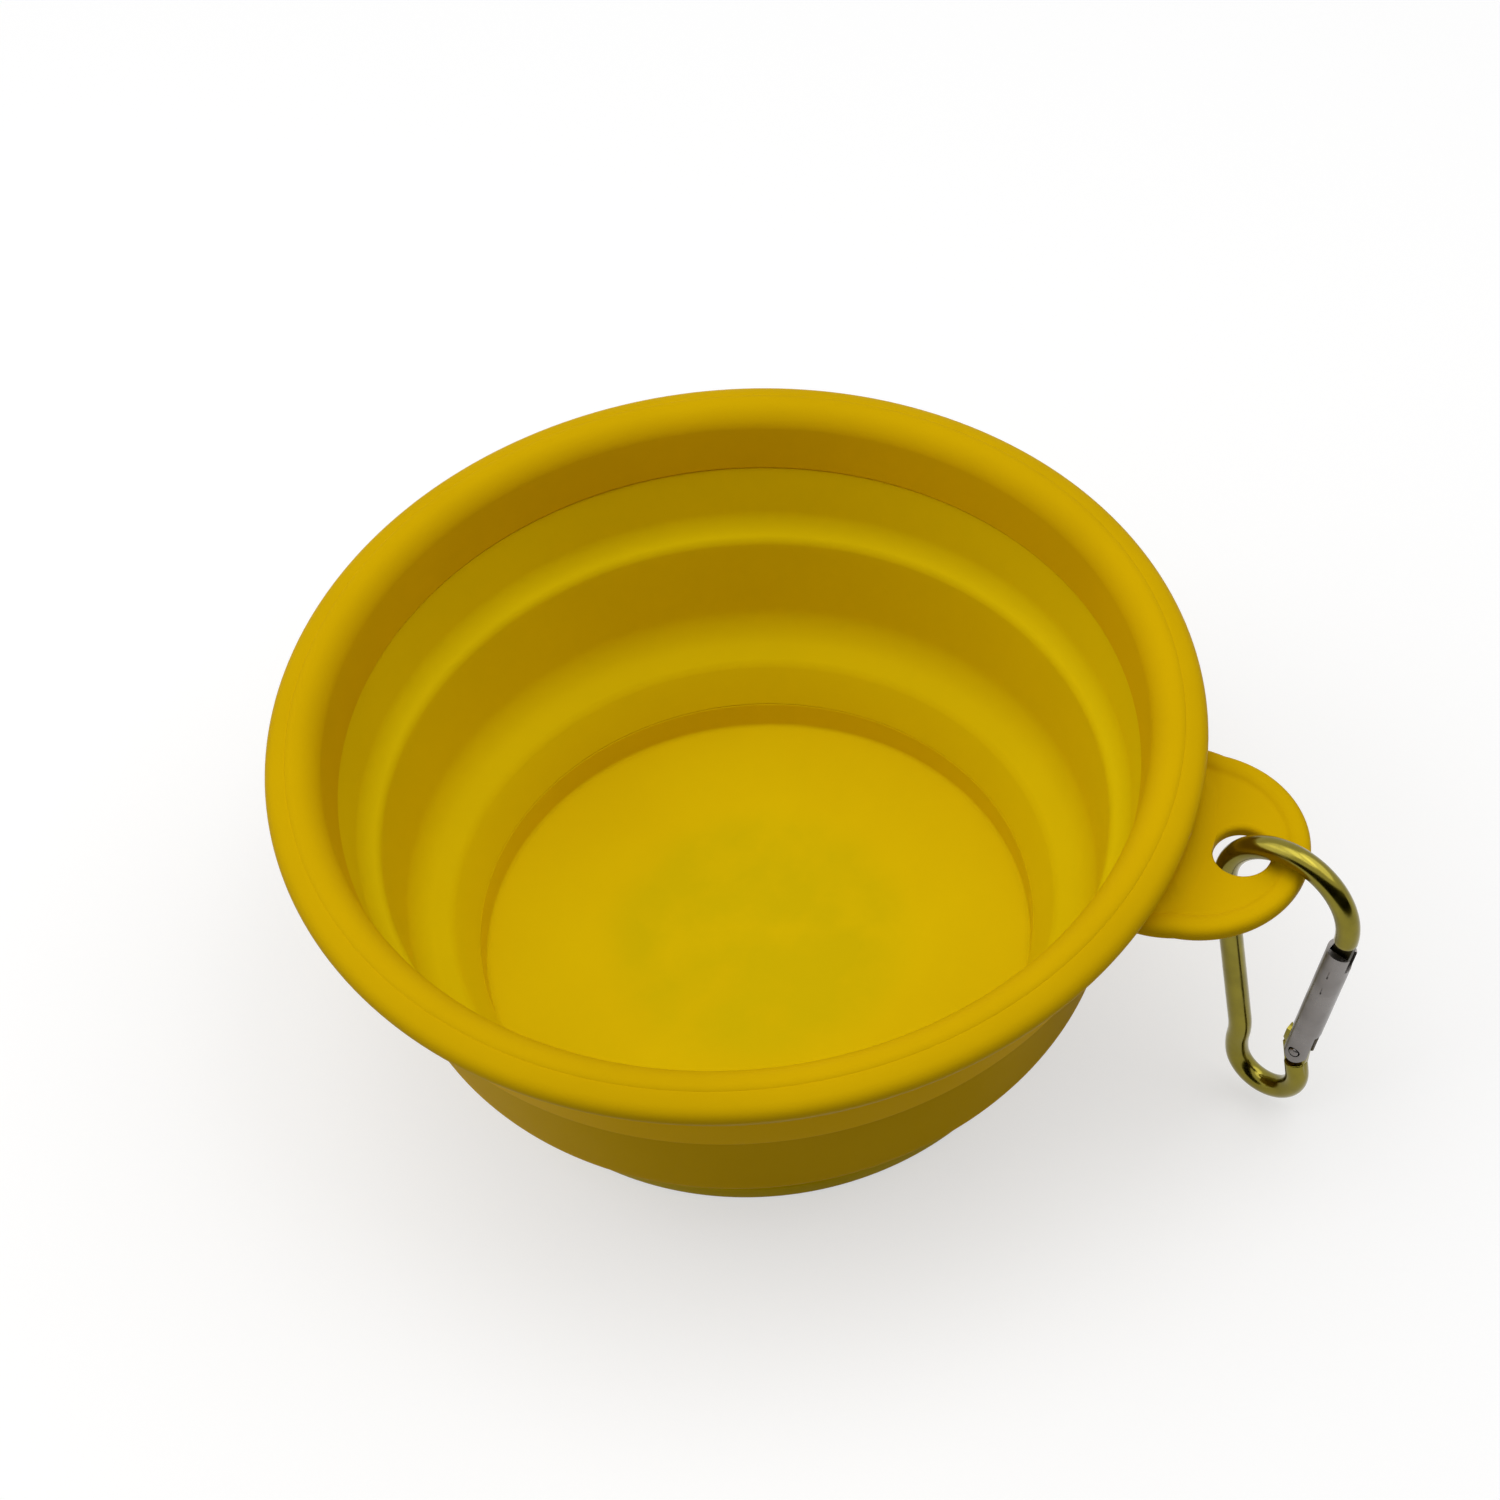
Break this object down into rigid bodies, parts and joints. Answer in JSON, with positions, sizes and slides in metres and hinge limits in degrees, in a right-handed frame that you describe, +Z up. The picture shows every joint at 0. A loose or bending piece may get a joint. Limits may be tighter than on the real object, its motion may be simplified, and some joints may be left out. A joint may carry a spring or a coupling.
{
  "type": "collapsible pet bowl",
  "caption": "Round travel pet bowl that folds flat: soft stepped wall between a stiff rim and base, with a hang tab and a spring-gate carabiner to clip it to a bag.",
  "frame": {"origin": "middle of the underside of the base, on the surface the bowl stands on", "axes": "+Z up through the bowl's mouth, +X from the bowl's axis out through the hang tab, +Y completes the right-handed set"},
  "size_m": [0.154, 0.1304, 0.055],
  "materials": {
    "rim_plastic": "satin",
    "soft_wall": "satin",
    "base_plastic": "satin",
    "gold_aluminium": "gold anodised",
    "bare_aluminium": "polished",
    "steel": "plain"
  },
  "bodies": {
    "rim": {"rim_ring": "rim_plastic", "upper_wall": "soft_wall"},
    "middle": {"middle_wall": "soft_wall"},
    "base": {"base_tray": "base_plastic", "lower_wall": "soft_wall"},
    "carabiner": {"carabiner_body": "gold_aluminium", "gate_rivet": "bare_aluminium"},
    "gate": {"carabiner_gate": "bare_aluminium", "gate_spring": "steel"},
    "plunger": {"gate_plunger": "steel"}
  },
  "joints": [
    {"name": "base_fold", "type": "slide", "parent": "rim", "child": "base", "axis": [0, 0, 1], "range_m": [0, 0.032]},
    {"name": "middle_fold", "type": "slide", "parent": "rim", "child": "middle", "axis": [0, 0, 1], "range_m": [0, 0.0177]},
    {"name": "carabiner_swing", "type": "hinge", "parent": "rim", "child": "carabiner", "pos_m": [0.0783, -0.0025, 0.04065], "axis": [-0.3401, -0.9345, 0.1045], "range_deg": [-20, 100]},
    {"name": "gate_swing", "type": "hinge", "parent": "carabiner", "child": "gate", "pos_m": [0.08309, -0.00706, 0.0155], "axis": [-0.3401, -0.9345, 0.1045], "range_deg": [0, 30], "stiffness_Nm_per_rad": 0.02, "springref_deg": -17.19},
    {"name": "plunger_push", "type": "slide", "parent": "gate", "child": "plunger", "axis": [0.1252, 0.0652, 0.99], "range_m": [0, 0.0012], "deforming": ["gate_spring"]}
  ],
  "couplings": [
    {"joint": "middle_fold", "follows": "base_fold", "ratio": 0.55},
    {"joint": "gate_swing", "follows": "plunger_push", "rad_per_m": 436.33}
  ]
}
